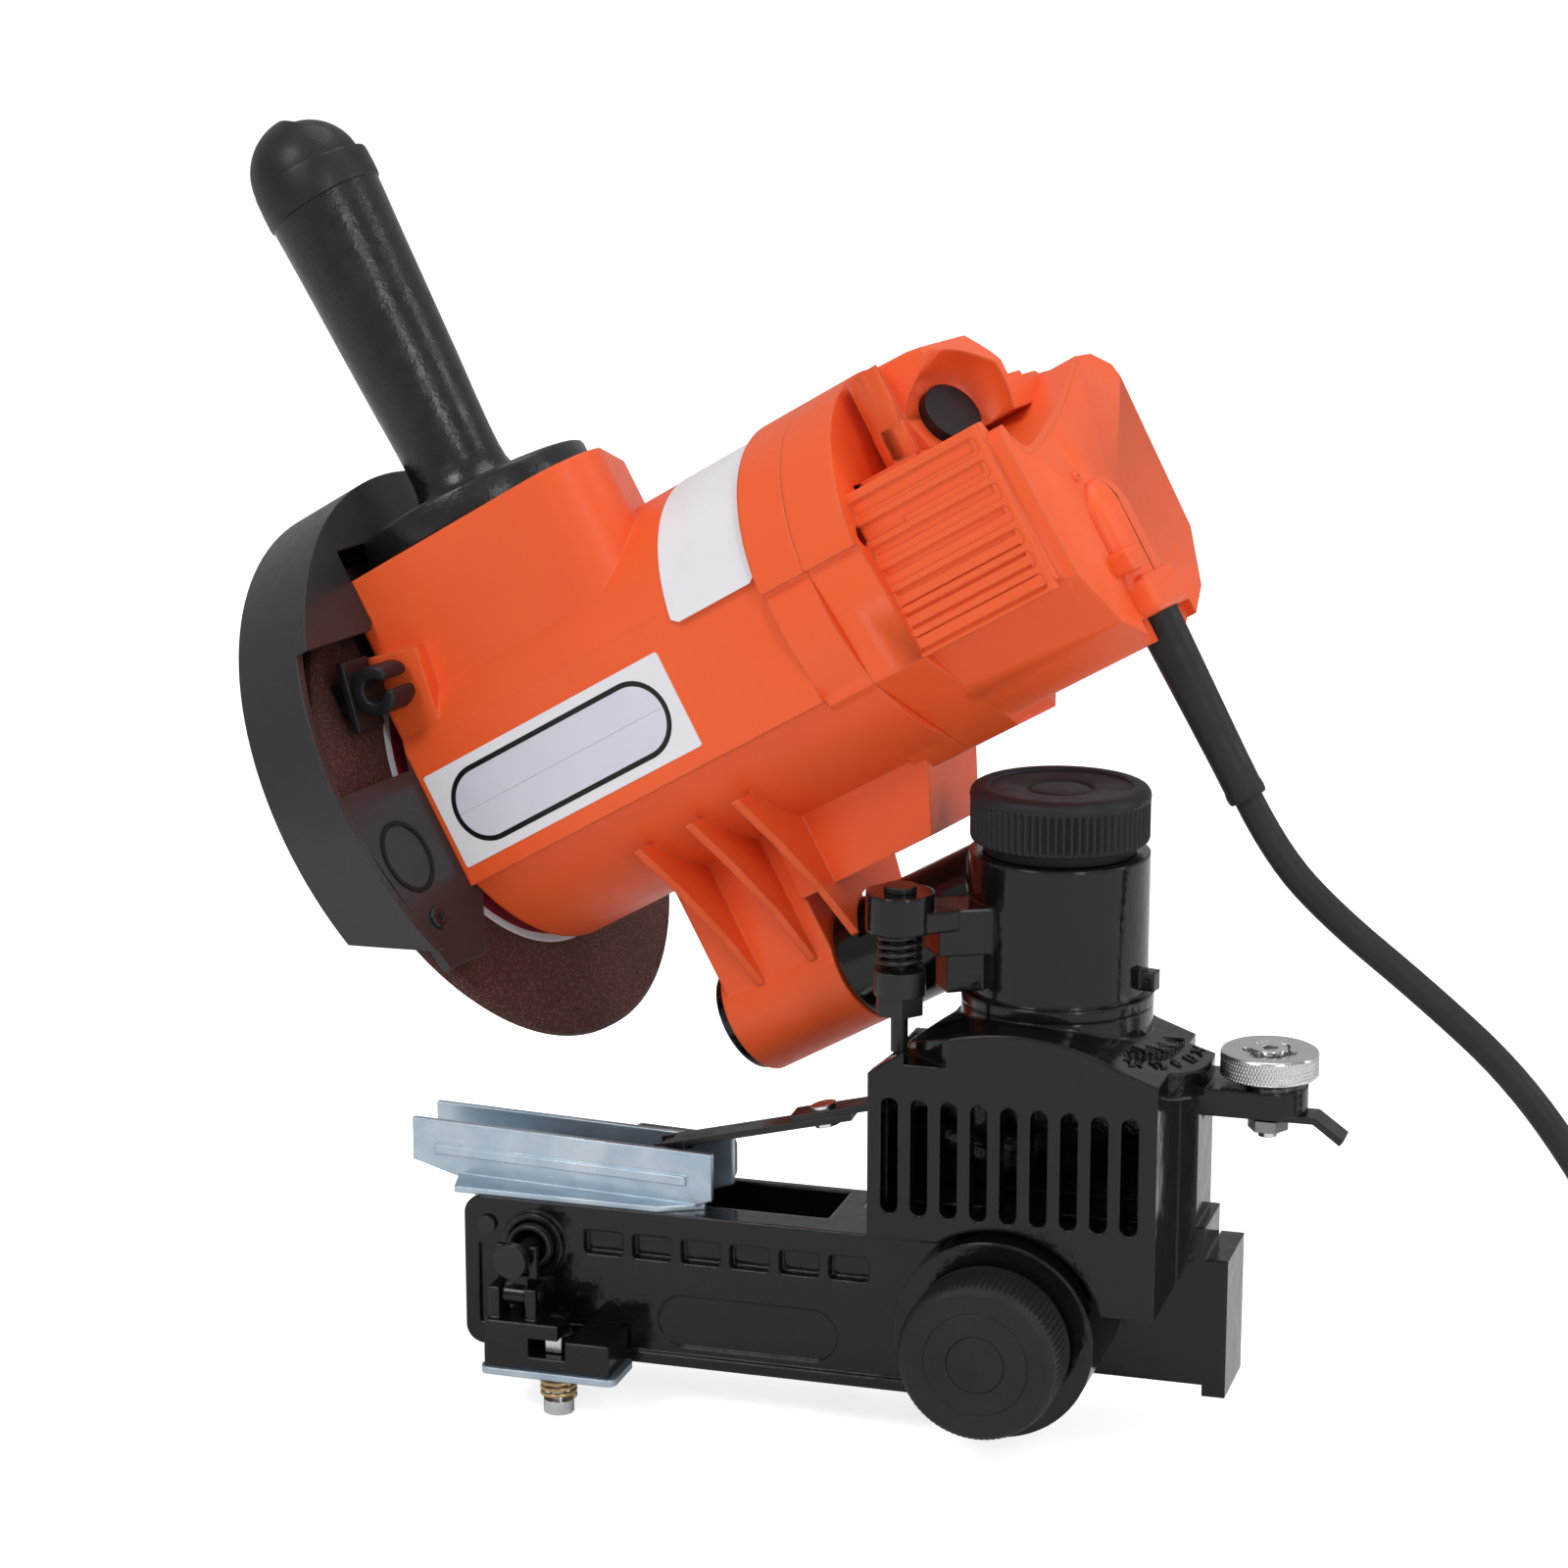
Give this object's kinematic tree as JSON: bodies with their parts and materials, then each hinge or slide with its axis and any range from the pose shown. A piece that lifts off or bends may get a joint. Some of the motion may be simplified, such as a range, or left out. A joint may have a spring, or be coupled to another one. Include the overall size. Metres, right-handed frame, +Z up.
{
  "type": "electric chain sharpener",
  "caption": "Bench chain grinder: motor head with a thin guarded grinding wheel and handle, hinged on a swivelling column above a tilting chain vise with a stop",
  "frame": {"origin": "middle of the mounting tongue's end face, at the right end of the base", "axes": "+X to the right, out of the tongue's end face and along the vise arm; +Y to the back, away from the knobs; +Z up along the column"},
  "size_m": [0.5453, 0.221, 0.3276],
  "materials": {
    "black_paint": "gloss",
    "black_steel": "satin",
    "zinc_steel": "satin",
    "bright_steel": "polished",
    "steel": "machined",
    "brass": "drawn",
    "orange_shell": "fine texture",
    "black_plastic": "fine texture",
    "handle_plastic": "semi-gloss",
    "abrasive": "grained",
    "black_rubber": "matt",
    "laminations": "laminated"
  },
  "bodies": {
    "base": {"base_casting": "black_paint", "pivot_stud": "black_steel", "tilt_bolt": "black_steel", "stop_nut": "zinc_steel"},
    "arm": {"vise_arm": "black_paint", "arm_rivet": "black_steel", "front_rail": "zinc_steel", "lever_block": "black_paint", "lever_pin": "black_steel", "spring_plate": "zinc_steel", "adjust_nut": "zinc_steel", "adjust_spring": "brass", "clamp_spring": "black_steel", "tilt_washer": "zinc_steel"},
    "rear_jaw": {"rear_rail": "zinc_steel", "rear_jaw": "black_paint", "clamp_rod": "black_steel"},
    "clamp_lever": {"clamp_lever": "black_steel"},
    "adjuster": {"adjust_screw": "bright_steel"},
    "tilt_knob": {"tilt_knob": "black_plastic", "tilt_knob_insert": "brass"},
    "chain_stop": {"stop_bar": "black_steel", "stop_link": "black_steel", "stop_rivet": "zinc_steel", "pawl_pin": "black_steel"},
    "pawl": {"stop_pawl": "black_steel"},
    "stop_knob": {"stop_knob": "bright_steel", "stop_screw": "bright_steel"},
    "column": {"column": "black_paint", "hinge_pin": "steel", "return_spring": "black_steel", "index_spring": "black_steel"},
    "column_knob": {"column_knob": "black_plastic", "column_knob_insert": "brass"},
    "index_pin": {"index_pin": "black_steel"},
    "head": {"motor_housing": "orange_shell", "rear_cover": "orange_shell", "cover_screws": "steel", "barrel_cap": "black_steel", "handle": "handle_plastic", "handle_cap": "handle_plastic", "handle_bolt": "steel", "guard": "black_plastic", "guard_screws": "black_steel", "guard_clip": "black_plastic", "switch_body": "black_plastic", "stator": "laminations", "brush_holders": "brass", "bearings": "steel", "cord_sleeve": "black_rubber", "cord": "black_rubber", "cord_coil": "black_rubber", "plug": "black_plastic"},
    "rotor": {"spindle": "steel", "armature": "laminations", "fan": "black_plastic", "grinding_wheel": "abrasive", "wheel_flanges": "steel", "wheel_nut": "steel"},
    "switch_button": {"switch_button": "black_plastic"}
  },
  "joints": [
    {"name": "arm_tilt", "type": "hinge", "parent": "base", "child": "arm", "pos_m": [-0.0535, -0.03, 0.0035], "axis": [0, -1, 0], "range_deg": [0, 10]},
    {"name": "jaw_slide", "type": "slide", "parent": "arm", "child": "rear_jaw", "axis": [0.0872, 0.9962, 0], "range_m": [0, 0.003], "stiffness_N_per_m": 400, "springref_m": -0.004},
    {"name": "lever_rock", "type": "hinge", "parent": "arm", "child": "clamp_lever", "pos_m": [-0.1804, -0.044, 0.0022], "axis": [-1, 0, 0], "range_deg": [0, 18]},
    {"name": "adjuster_turn", "type": "hinge", "parent": "arm", "child": "adjuster", "pos_m": [-0.17, -0.042, -0.02], "axis": [0, 0, 1], "continuous": true},
    {"name": "tilt_knob_turn", "type": "hinge", "parent": "arm", "child": "tilt_knob", "pos_m": [-0.0535, -0.05, 0.0035], "axis": [0, 1, 0], "continuous": true},
    {"name": "stop_slide", "type": "slide", "parent": "base", "child": "chain_stop", "axis": [1, 0, 0], "range_m": [-0.006, 0.006]},
    {"name": "pawl_swing", "type": "hinge", "parent": "chain_stop", "child": "pawl", "pos_m": [-0.14688, -0.01892, 0.03741], "axis": [-0.0384, 0.9993, 0], "range_deg": [0, 50]},
    {"name": "stop_knob_turn", "type": "hinge", "parent": "base", "child": "stop_knob", "pos_m": [0.0075, -0.0015, 0.068], "axis": [0, 0, 1], "continuous": true},
    {"name": "column_swivel", "type": "hinge", "parent": "base", "child": "column", "pos_m": [-0.047, -0.0045, 0.1], "axis": [0, 0, 1], "range_deg": [-25, 10]},
    {"name": "column_knob_turn", "type": "hinge", "parent": "column", "child": "column_knob", "pos_m": [-0.047, -0.0045, 0.13], "axis": [0, 0, 1], "continuous": true},
    {"name": "index_pin_lift", "type": "slide", "parent": "column", "child": "index_pin", "axis": [0, 0, 1], "range_m": [0, 0.003], "stiffness_N_per_m": 500, "springref_m": -0.004, "deforming": ["index_spring"]},
    {"name": "head_lower", "type": "hinge", "parent": "column", "child": "head", "pos_m": [-0.11964, 0.02009, 0.07196], "axis": [0.8529, -0.1504, 0.5], "range_deg": [0, 31], "stiffness_Nm_per_rad": 6, "springref_deg": -20.05},
    {"name": "rotor_spin", "type": "hinge", "parent": "head", "child": "rotor", "pos_m": [-0.21536, 0.03696, 0.1163], "axis": [0.8529, -0.1504, 0.5], "continuous": true},
    {"name": "switch_press", "type": "slide", "parent": "head", "child": "switch_button", "axis": [-0.6257, 0.422, -0.6561], "range_m": [0, 0.0025], "stiffness_N_per_m": 600, "springref_m": -0.002}
  ],
  "couplings": [
    {"joint": "lever_rock", "follows": "jaw_slide", "rad_per_m": 102.39}
  ]
}
